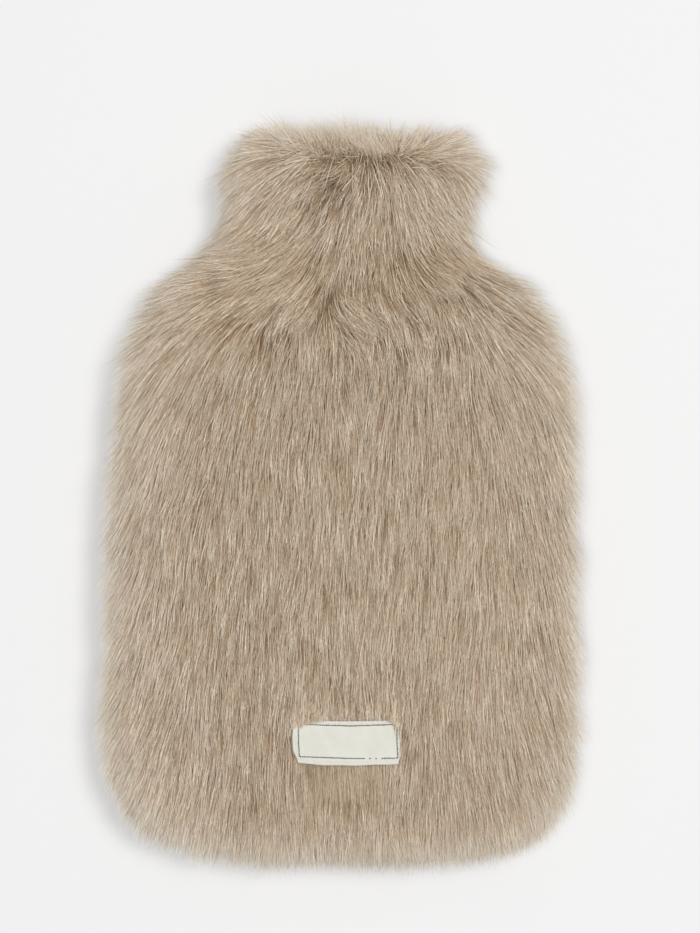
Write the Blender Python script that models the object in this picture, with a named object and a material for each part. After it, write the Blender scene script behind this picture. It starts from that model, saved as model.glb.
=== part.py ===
"""Long-pile fur cover for a hot water bottle, lying on its back.

The cover is two fur panels of one outline, sewn together round the edge and
open at the top of the flared collar, with a small woven label on the front.
Each panel's solid runs from the inside of its cloth out to the laid pile.

Metres, +Z up. X is the width, +Y runs from the bottom edge to the mouth, and
the cover lies on Z = 0 with its front up. The origin is the middle of the
resting side. It is 370 mm from the bottom edge to the top of the collar.
"""

import math

import bmesh
import bpy

MM = 0.001

# ---- driving dimensions, mm -------------------------------------------------
SEAM_GAP = 0.3  # between the two panels
LABEL_GAP = 0.35  # between the label and the pile it is sewn to
PILE_TOP = 11.0  # laid pile on the front
PILE_BACK = 5.5  # pile pressed flat underneath
CLOTH = 2.0  # knitted backing
LABEL_W, LABEL_H, LABEL_T = 53.0, 21.6, 1.0
LABEL_X, LABEL_Y = 2.3, -121.2
LABEL_SINK = 3.5  # how far the pile is pressed down under the label
PATCH_RIM = 14.0  # the flat patch round the label
PATCH_EASE = 22.0  # and the slope up to the loose pile
FLAT_SHARE = 0.72  # how much of the underside's half width rests flat
STEPS_LONG = 40  # stations from the bottom middle to the mouth, on each side
STEPS_CROWN = 8  # from the seam to the ridge of the front
STEPS_BACK = 4  # from the seam to the resting flat

# Outline of the pile from the bottom middle to the mouth.
# y, half width to the left, half width to the right, inset of the hollow
OUTLINE = [
    # y, left, right, inset
    (-185.0, 0.0, 0.0, 16.0),
    (-184.6, 28.0, 28.0, 16.0),
    (-182.5, 66.0, 66.0, 16.0),
    (-176.2, 87.0, 90.0, 16.0),
    (-166.3, 103.5, 104.0, 16.0),
    (-151.5, 113.5, 113.0, 16.0),
    (-130.0, 119.5, 117.5, 16.0),
    (-100.0, 120.0, 118.6, 16.0),
    (-60.0, 118.5, 118.2, 16.0),
    (-12.0, 117.8, 118.0, 16.0),
    (27.0, 115.8, 117.8, 16.0),
    (52.0, 112.9, 116.3, 16.0),
    (71.0, 108.5, 112.0, 17.0),
    (87.0, 102.0, 105.0, 18.0),
    (101.0, 92.5, 93.5, 19.0),
    (113.0, 79.5, 77.5, 20.0),
    (123.0, 68.5, 67.8, 20.0),
    (133.0, 63.5, 65.6, 19.0),
    (146.0, 62.4, 69.6, 18.0),
    (160.0, 61.5, 72.8, 18.0),
    (172.0, 55.5, 68.5, 17.0),
    (180.0, 47.5, 61.5, 15.0),
    (185.0, 39.5, 53.5, 14.0),
]

# Side view along the ridge.
# y, height of the front's pile, height of the side seam
RIDGE = [
    # y, crown, seam
    (-185.0, 52.0, 19.0),
    (-125.0, 55.0, 22.0),
    (-60.0, 58.0, 24.0),
    (0.0, 58.0, 24.0),
    (50.0, 55.5, 23.5),
    (85.0, 50.0, 22.5),
    (115.0, 46.6, 21.0),
    (140.0, 46.0, 20.5),
    (165.0, 44.0, 20.0),
    (185.0, 36.0, 18.5),
]

FUR = (0.60, 0.48, 0.37, 1.0)
SATIN = (0.86, 0.83, 0.77, 1.0)


def smooth_row(rows, t):
    """The row at t along a smooth curve through the rows, one row per unit."""
    last = len(rows) - 1
    i = min(int(t), last - 1)
    f = t - i
    a, b = rows[max(i - 1, 0)], rows[i]
    c, d = rows[i + 1], rows[min(i + 2, last)]
    return [
        0.5
        * (
            2 * q
            + (r - p) * f
            + (2 * p - 5 * q + 4 * r - s) * f * f
            + (3 * q - p - 3 * r + s) * f**3
        )
        for p, q, r, s in zip(a, b, c, d)
    ]


def slope_at(rows, i, k):
    """Slope of column k at row i, level where the column turns round."""
    slopes = [
        (b[k] - a[k]) / (b[0] - a[0])
        for a, b in zip(rows[max(i - 1, 0) :], rows[max(i - 1, 0) + 1 : i + 2])
    ]
    if len(slopes) == 1:
        return slopes[0]
    a, b = slopes
    return 2 * a * b / (a + b) if a * b > 0 else 0.0


def between(rows, y):
    """The row at height y, on a smooth curve that doesn't overshoot the rows."""
    i = 0
    while i < len(rows) - 2 and y > rows[i + 1][0]:
        i += 1
    lo, hi = rows[i], rows[i + 1]
    span = hi[0] - lo[0]
    f = min(max((y - lo[0]) / span, 0.0), 1.0)
    rise = f * f * (3 - 2 * f)
    lead = f * (1 - f) ** 2 * span
    tail = f * f * (f - 1) * span
    return [
        lo[k]
        + (hi[k] - lo[k]) * rise
        + slope_at(rows, i, k) * lead
        + slope_at(rows, i + 1, k) * tail
        for k in range(len(lo))
    ]


def along_outline(steps):
    """Rows (y, left, right, inset) at equal lengths of edge, bottom to mouth."""
    fine = 40
    rows = [
        smooth_row(OUTLINE, k / fine) for k in range((len(OUTLINE) - 1) * fine + 1)
    ]
    run = [0.0]
    for a, b in zip(rows, rows[1:]):
        run.append(run[-1] + math.hypot(b[0] - a[0], (b[1] + b[2] - a[1] - a[2]) / 2))
    out, k = [], 0
    for i in range(steps + 1):
        want = run[-1] * i / steps
        while k < len(run) - 2 and run[k + 1] < want:
            k += 1
        f = (want - run[k]) / (run[k + 1] - run[k])
        out.append([p + (q - p) * f for p, q in zip(rows[k], rows[k + 1])])
    return out


STATIONS = along_outline(STEPS_LONG)
# Puts the middle of the width on X = 0, as the sides aren't quite alike.
MIDDLE = (max(r[1] for r in STATIONS) - max(r[2] for r in STATIONS)) / 2
RIDGE_FOOT = -122.0  # the ridge ends here and fans out to the bottom edge
FAN_TOP = -55.0  # above this the sections run straight across


def ridge_y(i):
    """Where station i meets the ridge."""
    fan = next(k for k, row in enumerate(STATIONS) if row[0] > FAN_TOP)
    if i >= fan:
        return STATIONS[i][0]
    return RIDGE_FOOT + (STATIONS[fan][0] - RIDGE_FOOT) * (i / fan) ** 1.5


def edge_point(i, side, inset=0.0):
    """A point of station i on the outline, drawn in towards the ridge by inset."""
    y, left, right, _ = STATIONS[i]
    x = right if side > 0 else -left
    dx, dy = -x, ridge_y(i) - y
    far = math.hypot(dx, dy)
    return x + dx * inset / far, y + dy * inset / far


def label_plane(x, y, slope=-0.035, tilt=-0.004):
    """The pressed patch under the label: a plane that dips to the bottom edge."""
    middle = between(RIDGE, LABEL_Y)[1] - LABEL_SINK
    return middle + (y - LABEL_Y) * -slope + (x - LABEL_X) * tilt


def pressed(x, y, z):
    """z, blended into the label's patch."""
    across = abs(x - LABEL_X) - LABEL_W / 2
    along = abs(y - LABEL_Y) - LABEL_H / 2
    off = max(across, along)
    f = min(max((off - PATCH_RIM) / PATCH_EASE, 0.0), 1.0)
    f = f * f * (3 - 2 * f)
    return label_plane(x, y) * (1 - f) + z * f


def front_profile(k, steps):
    """Share of the half width and of the rise at step k from the seam."""
    a = math.pi / 2 * k / steps
    return math.cos(a) ** 0.80 if k < steps else 0.0, math.sin(a) ** 0.92


def back_profile(k, steps):
    """The same for the back, which ends in one flat strip to the ridge."""
    if k > steps:
        return 0.0, 1.0
    a = math.pi / 2 * k / steps
    turn = math.cos(a) if k < steps else 0.0
    return FLAT_SHARE + (1 - FLAT_SHARE) * turn, math.sin(a)


def skin(verts, profile, steps, inset, level, edge_z):
    """Adds one curved surface to verts and returns its grid of indices.

    level(y) is the height at the ridge and edge_z(y) the height at the seam.
    """
    grid = {}
    for i, row in enumerate(STATIONS):
        y_mid = ridge_y(i)
        for side in (-1, 1):
            ex, ey = edge_point(i, side, row[3] if inset else 0.0)
            for k in range(steps + 1):
                if side > 0 and (k == steps or i == 0):
                    grid[side, i, k] = grid[-1, i, k]  # on the middle line
                    continue
                share, rise = profile(k)
                x, y = ex * share, y_mid + (ey - y_mid) * share
                z = edge_z(row[0]) + (level(y_mid) - edge_z(row[0])) * rise
                grid[side, i, k] = len(verts)
                verts.append((x, y, z))
    return grid


def shell(name, profile, steps, outer_level, inner_level, edge_z, press=False):
    """One panel: its outer and inner surfaces, joined at the seam and mouth."""
    verts = []
    outer = skin(verts, profile, steps, False, outer_level, edge_z)
    if press:
        verts = [(x, y, pressed(x, y, z)) for x, y, z in verts]
    inner = skin(verts, profile, steps, True, inner_level, edge_z)
    faces = []
    top = STEPS_LONG
    for side in (-1, 1):
        for i in range(STEPS_LONG):
            for k in range(steps):
                for grid in (outer, inner):
                    faces.append(
                        [
                            grid[side, i, k],
                            grid[side, i + 1, k],
                            grid[side, i + 1, k + 1],
                            grid[side, i, k + 1],
                        ]
                    )
            faces.append(
                [
                    outer[side, i, 0],
                    outer[side, i + 1, 0],
                    inner[side, i + 1, 0],
                    inner[side, i, 0],
                ]
            )
        for k in range(steps):
            faces.append(
                [
                    outer[side, top, k],
                    outer[side, top, k + 1],
                    inner[side, top, k + 1],
                    inner[side, top, k],
                ]
            )
    return solid(name, verts, faces)


def solid(name, verts, faces):
    me = bpy.data.meshes.new(name)
    points = [((x + MIDDLE) * MM, y * MM, z * MM) for x, y, z in verts]
    me.from_pydata(points, [], faces)
    bm = bmesh.new()
    bm.from_mesh(me)
    bmesh.ops.recalc_face_normals(bm, faces=bm.faces)
    bm.to_mesh(me)
    bm.free()
    me.shade_smooth()
    me.set_sharp_from_angle(angle=math.radians(40))
    ob = bpy.data.objects.new(name, me)
    bpy.context.scene.collection.objects.link(ob)
    return ob


def label(name):
    """A thin rectangle with rounded corners that lies on the pressed patch."""
    nx, ny = 8, 4
    verts, faces = [], []
    for top in (0, 1):
        for j in range(ny + 1):
            for i in range(nx + 1):
                u, v = 2 * i / nx - 1, 2 * j / ny - 1
                x = LABEL_X + u * LABEL_W / 2 * (1 - 0.012 * abs(v) ** 4)
                y = LABEL_Y + v * LABEL_H / 2 * (1 - 0.03 * abs(u) ** 6)
                z = label_plane(x, y) + LABEL_GAP + top * LABEL_T
                verts.append((x, y, z))
    layer = (nx + 1) * (ny + 1)

    def at(i, j, top):
        return top * layer + j * (nx + 1) + i

    for j in range(ny):
        for i in range(nx):
            for top in (0, 1):
                faces.append(
                    [
                        at(i, j, top),
                        at(i + 1, j, top),
                        at(i + 1, j + 1, top),
                        at(i, j + 1, top),
                    ]
                )
    for i in range(nx):
        for j in (0, ny):
            faces.append([at(i, j, 0), at(i + 1, j, 0), at(i + 1, j, 1), at(i, j, 1)])
    for j in range(ny):
        for i in (0, nx):
            faces.append([at(i, j, 0), at(i, j + 1, 0), at(i, j + 1, 1), at(i, j, 1)])
    return solid(name, verts, faces)


def finish(ob, name, colour, roughness, sheen):
    mat = bpy.data.materials.new(name)
    mat.use_nodes = True
    bsdf = mat.node_tree.nodes["Principled BSDF"]
    bsdf.inputs["Base Color"].default_value = colour
    bsdf.inputs["Roughness"].default_value = roughness
    bsdf.inputs["Metallic"].default_value = 0.0
    bsdf.inputs["Sheen Weight"].default_value = sheen
    mat.diffuse_color = colour
    ob.data.materials.append(mat)


for old in list(bpy.data.objects):
    bpy.data.objects.remove(old, do_unlink=True)

front = shell(
    "front_panel",
    lambda k: front_profile(k, STEPS_CROWN),
    STEPS_CROWN,
    lambda y: between(RIDGE, y)[1],
    lambda y: between(RIDGE, y)[1] - PILE_TOP - CLOTH,
    lambda y: between(RIDGE, y)[2] + SEAM_GAP / 2,
    press=True,
)
back = shell(
    "back_panel",
    lambda k: back_profile(k, STEPS_BACK),
    STEPS_BACK + 1,
    lambda y: 0.0,
    lambda y: PILE_BACK + CLOTH,
    lambda y: between(RIDGE, y)[2] - SEAM_GAP / 2,
)
tag = label("label")

finish(front, "front_fur", FUR, 0.9, 0.3)
finish(back, "back_fur", FUR, 0.9, 0.3)
finish(tag, "label_satin", SATIN, 0.45, 0.0)
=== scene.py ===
"""Looks for the long-pile fur cover: cloth, pile, label, floor, light and camera.

Sizes are millimetres in the code and metres in the meshes.
"""

import math

import bpy
import numpy as np
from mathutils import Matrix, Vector
from mathutils.kdtree import KDTree


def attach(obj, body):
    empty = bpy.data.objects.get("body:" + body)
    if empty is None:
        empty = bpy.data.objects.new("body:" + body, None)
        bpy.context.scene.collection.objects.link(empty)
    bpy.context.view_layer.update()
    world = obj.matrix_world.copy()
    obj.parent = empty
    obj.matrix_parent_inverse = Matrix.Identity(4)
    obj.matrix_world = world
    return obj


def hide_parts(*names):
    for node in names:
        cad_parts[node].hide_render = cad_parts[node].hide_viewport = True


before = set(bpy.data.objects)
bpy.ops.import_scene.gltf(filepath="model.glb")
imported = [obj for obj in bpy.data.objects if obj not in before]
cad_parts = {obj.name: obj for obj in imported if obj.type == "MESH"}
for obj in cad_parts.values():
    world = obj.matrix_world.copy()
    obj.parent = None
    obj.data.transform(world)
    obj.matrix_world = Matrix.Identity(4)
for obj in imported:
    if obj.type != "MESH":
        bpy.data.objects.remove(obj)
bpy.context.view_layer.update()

MM = 0.001
rng = np.random.default_rng(20817)

# ---- sizes, mm ---------------------------------------------------------------
PILE_TOP = 11.0  # laid pile on the front
PILE_BACK = 5.5  # pile pressed flat underneath
CLOTH = 1.5  # knitted backing
FLAT_SHARE = 0.72
RIDGE_FOOT, FAN_TOP = -122.0, -55.0
MOUTH_Y = 175.0  # the cloth's edge at the mouth; the pile reaches further
LABEL_W, LABEL_H = 53.0, 21.6
LABEL_X, LABEL_Y = 3.1, -121.2
LABEL_SINK = 3.5

# Outline of the pile, from the bottom middle to the mouth.
# y, half width to the left, half width to the right, inset of the hollow
OUTLINE = np.array(
    [
        (-185.0, 0.0, 0.0, 16.0),
        (-184.6, 28.0, 28.0, 16.0),
        (-182.5, 66.0, 66.0, 16.0),
        (-176.2, 87.0, 90.0, 16.0),
        (-166.3, 103.5, 104.0, 16.0),
        (-151.5, 113.5, 113.0, 16.0),
        (-130.0, 119.5, 117.5, 16.0),
        (-100.0, 120.0, 118.6, 16.0),
        (-60.0, 118.5, 118.2, 16.0),
        (-12.0, 117.8, 118.0, 16.0),
        (27.0, 115.8, 117.8, 16.0),
        (52.0, 112.9, 116.3, 16.0),
        (71.0, 108.5, 112.0, 17.0),
        (87.0, 102.0, 105.0, 18.0),
        (101.0, 92.5, 93.5, 19.0),
        (113.0, 79.5, 77.5, 18.5),
        (123.0, 68.5, 67.8, 17.0),
        (133.0, 63.5, 65.6, 17.0),
        (146.0, 62.4, 69.6, 18.0),
        (160.0, 61.5, 72.8, 18.0),
        (172.0, 55.5, 68.5, 17.0),
        (180.0, 47.5, 61.5, 15.0),
        (185.0, 39.5, 53.5, 14.0),
    ]
)

# Side view along the ridge: y, height of the front's pile, height of the seam
RIDGE = np.array(
    [
        (-185.0, 52.0, 19.0),
        (-125.0, 55.0, 22.0),
        (-60.0, 58.0, 24.0),
        (0.0, 58.0, 24.0),
        (50.0, 55.5, 23.5),
        (85.0, 50.0, 22.5),
        (115.0, 46.6, 21.0),
        (140.0, 46.0, 20.5),
        (165.0, 44.0, 20.0),
        (185.0, 36.0, 18.5),
    ]
)

# How the pile is brushed on the front: the lean, in degrees from straight down
# towards the bottom edge, positive to the right, at nine places across the width
# from the left edge to the right.
# y, edge, far left, left, mid left, middle, mid right, right, far right, edge
BRUSHED = np.array(
    [
        (-185, -22, -14, -6, 0, 0, 0, 4, 12, 12),
        (-130, -30, -16, 0, -3, 0, 2, 3, 13, 15),
        (-75, -31, -10, -3, -2, 2, -7, -8, 1, 14),
        (-36, -28, -7, -5, -3, -6, 0, -5, 6, 8),
        (4, -26, -12, -8, 1, 1, -3, -4, 3, 12),
        (31, -38, -19, -11, -8, -4, -4, 3, 12, 21),
        (57, -36, -30, -15, -6, -2, 4, -2, 28, 32),
        (71, -38, -32, -19, -2, 0, 1, -3, 36, 46),
        (84, -57, -56, -50, -25, 18, 22, 9, 38, 41),
        (97, -59, -69, -54, -54, 8, 16, 32, 56, 51),
        (111, -82, -86, -59, -46, -16, 15, 36, 32, 47),
        (121, -82, -55, -32, -36, -14, -7, 22, 40, 53),
        (133, -51, -33, -31, -29, -11, -12, 27, 38, 42),
        (145, -52, -46, -33, -26, -15, -3, 11, 12, 22),
        (155, -60, -44, -38, -38, -30, 0, 10, 16, 32),
        (164, -62, -65, -60, -56, -36, 18, 52, 54, 62),
        (176, -66, -74, -82, -70, -36, 23, 60, 72, 78),
    ]
)
# The same above the parting in the collar, in degrees from straight up.
# y, edge, far left, left, mid left, middle, mid right, right, far right, edge
FRINGE = np.array(
    [
        (160, -100, -84, -66, -46, -26, -30, 34, 78, 98),
        (168, -84, -60, -40, -34, -24, -34, 28, 74, 94),
        (185, -60, -40, -28, -26, -20, -26, 18, 46, 60),
    ]
)
PARTING_Y = 165.0
# Tufts that lie their own way where the neck's pile ends on the body's:
# middle x, y, lean as above, half length, half width
TUFTS = [
    (3.0, 80.0, 54, 13, 5.2), (-22.0, 96.0, -50, 12, 4.4), (-17.0, 81.0, -46, 7, 5.0),
    (31.0, 95.0, 26, 9, 3.4), (44.5, 100.5, 54, 11, 3.8), (71.0, 97.0, 44, 14, 4.0),
    (25.0, 80.0, 22, 8, 3.6), (-50.0, 108.0, -86, 10, 3.4), (-1.0, 107.0, -12, 8, 4.0),
    (-33.0, 84.0, -20, 8, 4.0), (52.0, 84.0, 2, 8, 4.5), (-10.0, 150.0, -36, 8, 5.0),
]
# and above the parting, with leans from straight up
TOP_TUFTS = [
    (-16.0, 172.0, -52, 10, 4.2), (-6.0, 172.5, -30, 9, 4.0), (3.5, 171.0, -30, 8, 3.4),
    (11.0, 173.0, -16, 9, 3.4), (22.5, 172.0, -54, 11, 5.2), (36.0, 171.0, 44, 9, 4.2),
    (47.0, 171.0, 76, 10, 4.4), (41.0, 178.0, 20, 8, 3.6), (56.0, 176.0, 48, 9, 4.0),
]
# How much further the tips reach past the outline than elsewhere, in mm:
# y, on the left, on the right
EDGE_REACH = np.array(
    [
        (-190, 0, 0), (-168, -2, 3), (-154, -1, 0.5), (-125, 5, 5), (-103, 5, 7),
        (-80, 7, 5), (-60, 6, 5), (-40, 4, 5), (0, 6, 2.5), (50, 3.5, 6.5), (65, 7.5, 11),
        (80, 8, 3), (95, 4, 1.5), (104, 1.5, 3), (109, -2, -9), (114, -3, -4), (120, 0, 14),
        (129, -7, 1), (139, -2, 0), (144, 0, 3.5), (148, 2.0, 4), (158, 2.0, 6), (166, 2.0, 6),
        (173, -2.5, 0.4), (178, -0.5, 0.8), (190, -3, -2),
    ]
)


# Where the pile gapes along a short line: x, y at both ends, and how far it opens
GAPS = [
    (2.8, 154.5, 5.2, 142.3, 1.0), (-18.5, 175.5, -4.0, 166.5, 0.9),
    (-6.5, 164.6, 8.0, 163.6, 0.8), (14.0, 166.0, 17.0, 160.0, 0.5),
    (-1.1, 163.0, -10.9, 150.6, 0.6), (6.0, 160.0, 8.0, 154.0, 0.5),
    (28.2, 101.6, 35.5, 88.0, 0.8), (35.5, 106.5, 43.8, 100.6, 0.7),
    (63.3, 99.7, 80.3, 84.0, 0.8), (49.6, 98.2, 54.5, 91.4, 0.8),
    (-26.0, 88.0, -32.0, 89.0, 0.7), (-2.6, 94.8, 4.8, 82.6, 0.6),
    (2.0, 91.0, 12.0, 76.0, 0.6), (-57.7, 107.0, -41.0, 107.5, 0.7),
    (42.3, 122.0, 51.6, 111.9, 0.7), (-18.0, 101.0, -22.0, 92.0, 0.6),
]


def ease(a):
    a = np.clip(a, 0.0, 1.0)
    return a * a * (3 - 2 * a)


def smooth_rows(rows, t):
    """Rows at t along a smooth curve through the rows, one row per unit."""
    last = len(rows) - 1
    i = np.minimum(t.astype(int), last - 1)
    f = (t - i)[:, None]
    p, q = rows[np.maximum(i - 1, 0)], rows[i]
    r, s = rows[i + 1], rows[np.minimum(i + 2, last)]
    return 0.5 * (
        2 * q
        + (r - p) * f
        + (2 * p - 5 * q + 4 * r - s) * f**2
        + (3 * q - p - 3 * r + s) * f**3
    )


fine = smooth_rows(OUTLINE, np.linspace(0, len(OUTLINE) - 1, 1600))
half = (fine[:, 1] + fine[:, 2]) / 2
run = np.concatenate([[0], np.cumsum(np.hypot(np.diff(fine[:, 0]), np.diff(half)))])
run /= run[-1]
MIDDLE = (fine[:, 1].max() - fine[:, 2].max()) / 2


def station(s):
    """y, left, right and inset at the share s of the edge from bottom to mouth."""
    return [np.interp(s, run, fine[:, k]) for k in range(4)]


S_FAN = float(np.interp(FAN_TOP, fine[200:, 0], run[200:]))
S_MOUTH = float(np.interp(MOUTH_Y, fine[200:, 0], run[200:]))


def ridge_y(s):
    fan = RIDGE_FOOT + (FAN_TOP - RIDGE_FOOT) * np.clip(s / S_FAN, 0, 1) ** 1.5
    return np.where(s >= S_FAN, station(s)[0], fan)


def level_slopes(rows):
    """Slopes at the rows of a curve through them that doesn't overshoot."""
    step = np.diff(rows[:, 1:], axis=0) / np.diff(rows[:, 0])[:, None]
    a, b = step[:-1], step[1:]
    both = np.where(a * b > 0, 2 * a * b / np.where(a + b == 0, 1, a + b), 0.0)
    return np.concatenate([step[:1], both, step[-1:]])


RIDGE_SLOPES = level_slopes(RIDGE)


def side_view(y):
    """Height of the pile and of the seam at y."""
    y = np.asarray(y, float)
    i = np.clip(np.searchsorted(RIDGE[:, 0], y) - 1, 0, len(RIDGE) - 2)
    span = RIDGE[i + 1, 0] - RIDGE[i, 0]
    f = np.clip((y - RIDGE[i, 0]) / span, 0, 1)
    rise, lead, tail = ease(f), f * (1 - f) ** 2 * span, f * f * (f - 1) * span
    return [
        RIDGE[i, k]
        + (RIDGE[i + 1, k] - RIDGE[i, k]) * rise
        + RIDGE_SLOPES[i, k - 1] * lead
        + RIDGE_SLOPES[i + 1, k - 1] * tail
        for k in (1, 2)
    ]


def dents(x, y):
    """How far the front's cloth dips: the parting and the hollow in the collar."""
    line = np.exp(-(((y - PARTING_Y) / 5.0) ** 2)) * ease(1 - np.abs(x - 6) / 34)
    pit = np.exp(-(((x - 1) / 9.0) ** 2) - ((y - 158) / 7.0) ** 2)
    return 0.4 * line + 3.5 * pit


def surface(which, s, m, lift=0.0, inset_by=0.0):
    """Points of the cloth's outer face at (s, m); |m| is 1 at the seam, 0 at the ridge."""
    y, left, right, inset = station(s)
    mid = ridge_y(s)
    ex = np.where(m > 0, right, -left)
    far = np.hypot(ex, mid - y)
    pull = 1 - (inset - 2.0 + inset_by) / far
    ex, ey = ex * pull, mid + (y - mid) * pull
    crown, seam = side_view(mid)
    seam = side_view(y)[1]
    away = 1 - np.abs(m)
    if which == "front":
        a = math.pi / 2 * away
        share, rise = np.cos(a) ** 0.80, np.sin(a) ** 0.92
        z = seam + 0.15 + (crown - PILE_TOP + lift - seam) * rise
    else:
        a = math.pi / 2 * np.clip(away / 0.7, 0, 1)
        share = FLAT_SHARE + (1 - FLAT_SHARE) * np.cos(a)
        share = np.where(away > 0.7, FLAT_SHARE * (1 - away) / 0.3, share)
        z = seam - 0.15 + (PILE_BACK - lift - seam) * np.sin(a)
    share = np.maximum(share, 0.0)
    x, y = ex * share, mid + (ey - mid) * share
    if which == "front":
        z = z - dents(x + MIDDLE, y) * ease(away * 3)
    return np.stack([x + MIDDLE, y, z], -1)


def unit(v):
    return v / np.maximum(np.linalg.norm(v, axis=-1, keepdims=True), 1e-9)


def normals(which, s, m):
    """Unit normals of the cloth at (s, m), out towards the pile."""
    ds, dm = 1e-3, 4e-3
    s0, s1 = np.maximum(s - ds, 1e-4), np.minimum(s + ds, 1)
    m0, m1 = np.clip(m - dm, -1, 1), np.clip(m + dm, -1, 1)
    across = surface(which, s, m1) - surface(which, s, m0)
    along = surface(which, s1, m) - surface(which, s0, m)
    n = unit(np.cross(across, along))
    return n if which == "front" else -n


def waves(seed, length, count=14):
    """A smooth random field of about unit spread with bumps of that length, mm."""
    r = np.random.default_rng(seed)
    turn = r.uniform(0, 2 * math.pi, count)
    k = 2 * math.pi / (length * r.uniform(0.7, 1.5, count))
    phase = r.uniform(0, 2 * math.pi, count)

    def field(x, y):
        total = 0
        for i in range(count):
            total = total + np.sin(
                k[i] * (x * math.cos(turn[i]) + y * math.sin(turn[i])) + phase[i]
            )
        return total * math.sqrt(2 / count)

    return field


# ---- meshes ------------------------------------------------------------------
def mesh_object(name, verts, faces, counts=None):
    """An object from vertex positions in mm and faces as index rows or flat loops."""
    me = bpy.data.meshes.new(name)
    me.vertices.add(len(verts))
    me.vertices.foreach_set("co", (verts * MM).astype(np.float32).ravel())
    if counts is None:
        counts = np.full(len(faces), faces.shape[1])
        faces = faces.ravel()
    me.loops.add(len(faces))
    me.loops.foreach_set("vertex_index", faces.astype(np.int32))
    me.polygons.add(len(counts))
    starts = np.concatenate([[0], np.cumsum(counts)[:-1]])
    me.polygons.foreach_set("loop_start", starts.astype(np.int32))
    me.polygons.foreach_set("use_smooth", np.ones(len(counts), bool))
    me.update(calc_edges=True)
    ob = bpy.data.objects.new(name, me)
    bpy.context.scene.collection.objects.link(ob)
    return ob


def cloth_panel(name, which, steps_s=110, steps_m=36):
    """A knitted backing with two faces, sewn edge and mouth edge."""
    s = np.linspace(0, S_MOUTH, steps_s + 1)
    verts, grids = [], []
    total = 0
    for inner in (0, 1):
        half_m = np.linspace(1, 0, steps_m // 2 + 1)
        grid = np.zeros((2, steps_s + 1, len(half_m)), int)
        for side, sign in enumerate((-1.0, 1.0)):
            S, M = np.meshgrid(s, sign * half_m, indexing="ij")
            flat_s, flat_m = S.ravel(), M.ravel()
            pts = surface(which, flat_s, flat_m, -CLOTH * inner, CLOTH * inner)
            keep = np.ones(S.shape, bool)
            if side:
                keep[0, :] = False
                keep[:, -1] = False
            index = np.zeros(S.shape, int)
            index[keep] = total + np.arange(keep.sum())
            if side:
                index[~keep] = grid[0][~keep]
            verts.append(pts.reshape(*S.shape, 3)[keep])
            total += int(keep.sum())
            grid[side] = index
        grids.append(grid)
    faces = []

    def quads(a, b, c, d, flip):
        f = np.stack([a, b, c, d], -1).reshape(-1, 4)
        faces.append(f[:, ::-1] if flip else f)

    up = which == "front"
    for side in (0, 1):
        for inner, g in enumerate(grids):
            a = g[side]
            quads(
                a[:-1, :-1],
                a[1:, :-1],
                a[1:, 1:],
                a[:-1, 1:],
                (side == 0) == (bool(inner) != up),
            )
        o, i = grids[0][side], grids[1][side]
        quads(
            o[:-1, 0], i[:-1, 0], i[1:, 0], o[1:, 0], (side == 0) != up
        )
        quads(
            o[-1, :-1], i[-1, :-1], i[-1, 1:], o[-1, 1:], (side == 0) == up
        )
    ob = mesh_object(name, np.concatenate(verts), np.concatenate(faces))
    outer_faces = [f.shape[0] for f in faces]
    slots = []
    for side in (0, 1):
        slots += [0] * outer_faces[side * 4]
        slots += [1] * outer_faces[side * 4 + 1]
        slots += [1] * outer_faces[side * 4 + 2]
        slots += [1] * outer_faces[side * 4 + 3]
    ob.data.polygons.foreach_set("material_index", np.array(slots, np.int32))
    return ob


# ---- pile --------------------------------------------------------------------
def scatter(which, count, weight=None, s_top=None):
    """(s, m) of roots spread evenly over the cloth, or by weight(x, y, z, away)."""
    ns, nm = 420, 240
    s = np.linspace(0.0, s_top or S_MOUTH, ns + 1)
    m = np.linspace(-1, 1, nm + 1)
    S, M = np.meshgrid(s, m, indexing="ij")
    P = surface(which, S.ravel(), M.ravel()).reshape(ns + 1, nm + 1, 3)
    d1 = P[1:, 1:] - P[:-1, :-1]
    d2 = P[1:, :-1] - P[:-1, 1:]
    area = np.linalg.norm(np.cross(d1, d2), axis=-1) / 2
    # the first rows on both sides of the middle line meet there, once each
    if weight is not None:
        c = (P[1:, 1:] + P[:-1, :-1]) / 2
        away = 1 - np.abs((m[1:] + m[:-1]) / 2)[None, :] + 0 * area
        area = area * weight(c[..., 0], c[..., 1], c[..., 2], away)
    odds = np.cumsum(area.ravel())
    pick = np.searchsorted(odds, (np.arange(count) + rng.random(count)) / count * odds[-1])
    i, j = np.divmod(np.minimum(pick, area.size - 1), nm)
    su = (i + rng.random(count)) / ns * s[-1]
    mu = -1 + 2 * (j + rng.random(count)) / nm
    return su, mu


def table_at(rows, y, u):
    """The nine-column table read at height y and place u from -1 to 1."""
    i = np.clip(np.searchsorted(rows[:, 0], y) - 1, 0, len(rows) - 2)
    f = np.clip((y - rows[i, 0]) / (rows[i + 1, 0] - rows[i, 0]), 0, 1)
    c = np.clip((u + 1) * 4, 0, 7.9999)
    j = c.astype(int)
    g = ease(c - j) * 0.5 + (c - j) * 0.5

    def row(k):
        return rows[k, 1 + j] * (1 - g) + rows[k, 2 + j] * g

    return row(i) * (1 - f) + row(i + 1) * f


lean_wide, lean_fine = waves(3, 38.0), waves(4, 11.0)


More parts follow.
